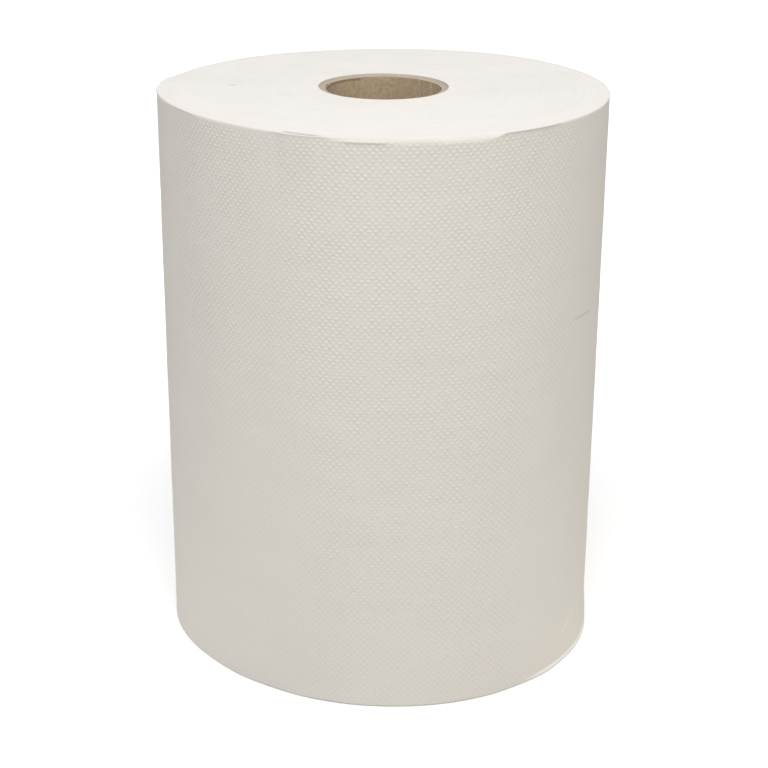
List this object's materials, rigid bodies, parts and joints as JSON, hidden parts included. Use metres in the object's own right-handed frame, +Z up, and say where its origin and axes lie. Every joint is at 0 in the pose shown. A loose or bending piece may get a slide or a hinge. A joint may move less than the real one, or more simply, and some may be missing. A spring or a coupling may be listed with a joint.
{
  "type": "paper towel roll",
  "caption": "Hard-wound roll of white embossed hand towel paper on a plain card core, standing on its end; the core's bore slides over a dispenser's spindle.",
  "frame": {"origin": "the roll's axis at its lower end face, which stands on the surface below", "axes": "+Z up along the core's bore; the picture's view is from -Y, with +X to the right; the sheet's tail is at the back"},
  "size_m": [0.1586, 0.1584, 0.203],
  "materials": {
    "towel_paper": "matt, white, embossed with small raised dots",
    "core_card": "matt, grey-brown recycled card"
  },
  "bodies": {
    "root": {"wound_sheet": "towel_paper", "core_tube": "core_card"}
  },
  "joints": []
}
